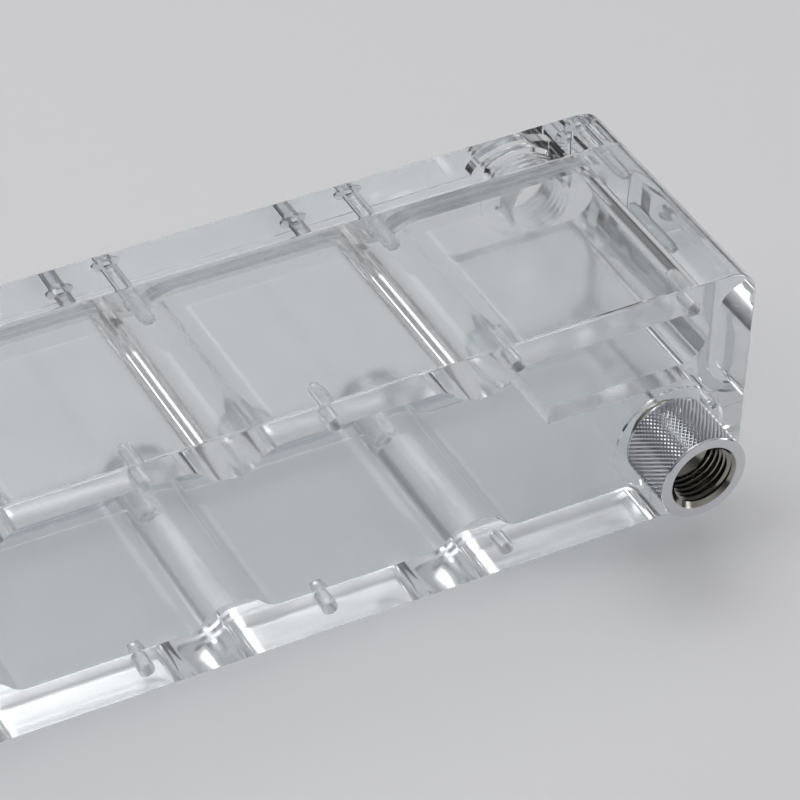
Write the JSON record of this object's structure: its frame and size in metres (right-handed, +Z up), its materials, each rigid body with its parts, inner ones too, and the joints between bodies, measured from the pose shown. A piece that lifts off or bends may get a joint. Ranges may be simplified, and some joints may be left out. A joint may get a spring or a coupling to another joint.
{
  "type": "liquid cooling reservoir",
  "caption": "Clear acrylic coolant reservoir block with a wavy milled pocket, inner baffle, screwed and sealed rear cover, threaded inlet and a knurled outlet fitting.",
  "frame": {"origin": "centre of the block's bottom face", "axes": "+X along the block towards the end with both ports, +Y from the front face to the rear cover, +Z up"},
  "size_m": [0.212, 0.0686, 0.055],
  "materials": {
    "clear_acrylic": "polished, transparent",
    "clear_silicone": "satin, translucent",
    "clear_polycarbonate": "glossy, transparent",
    "chromed_brass": "polished chrome plate, fine knurl",
    "black_rubber": "matte"
  },
  "bodies": {
    "reservoir": {"reservoir_body": "clear_acrylic", "rear_cover": "clear_acrylic", "cover_seal": "clear_silicone", "cover_screws": "clear_polycarbonate"},
    "fitting_seal": {"fitting_o_ring": "black_rubber"},
    "fitting": {"outlet_fitting": "chromed_brass"}
  },
  "joints": [
    {"name": "fitting_travel", "type": "slide", "parent": "reservoir", "child": "fitting_seal", "axis": [0, -1, 0], "range_m": [0, 0.005]},
    {"name": "fitting_turn", "type": "hinge", "parent": "fitting_seal", "child": "fitting", "pos_m": [0.0898, -0.028, 0.0196], "axis": [0, -1, 0], "range_deg": [0, 1346.4]}
  ],
  "couplings": [
    {"joint": "fitting_turn", "follows": "fitting_travel", "rad_per_m": 4699.5}
  ]
}
